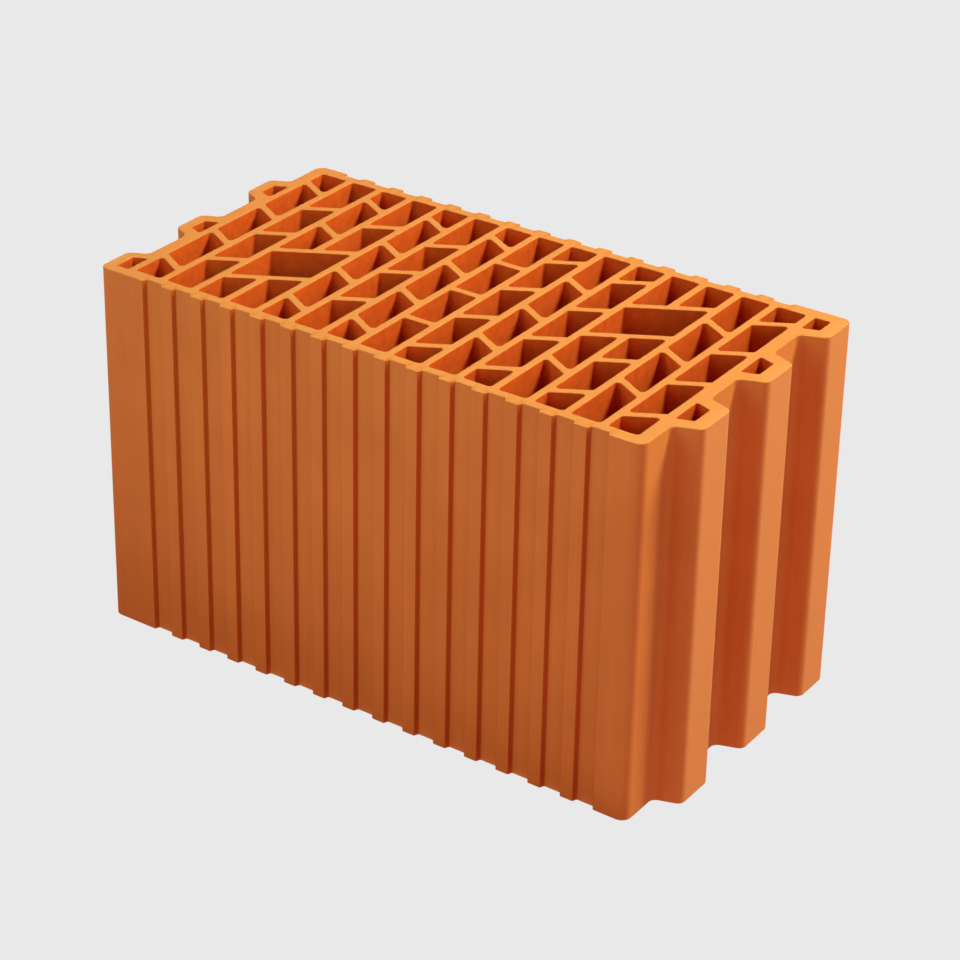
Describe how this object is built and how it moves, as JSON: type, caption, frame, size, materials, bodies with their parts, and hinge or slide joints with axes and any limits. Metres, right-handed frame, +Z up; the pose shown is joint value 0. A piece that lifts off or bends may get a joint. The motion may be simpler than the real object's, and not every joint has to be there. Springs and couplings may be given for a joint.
{
  "type": "hollow clay block",
  "caption": "Hollow fired-clay wall block with upright slanted cells, two hand grips, tongue-and-groove ends and grooved plaster faces.",
  "frame": {"origin": "middle of the lower bed face's box, on the floor", "axes": "+X along the wall, towards the longer tongues; +Y through the wall; +Z up, along the cells"},
  "size_m": [0.3916, 0.1994, 0.238],
  "materials": {
    "fired_clay": "matte orange fired clay with fine upright drag lines from extrusion and plain wire-cut bed faces"
  },
  "bodies": {
    "root": {"brick": "fired_clay"}
  },
  "joints": []
}
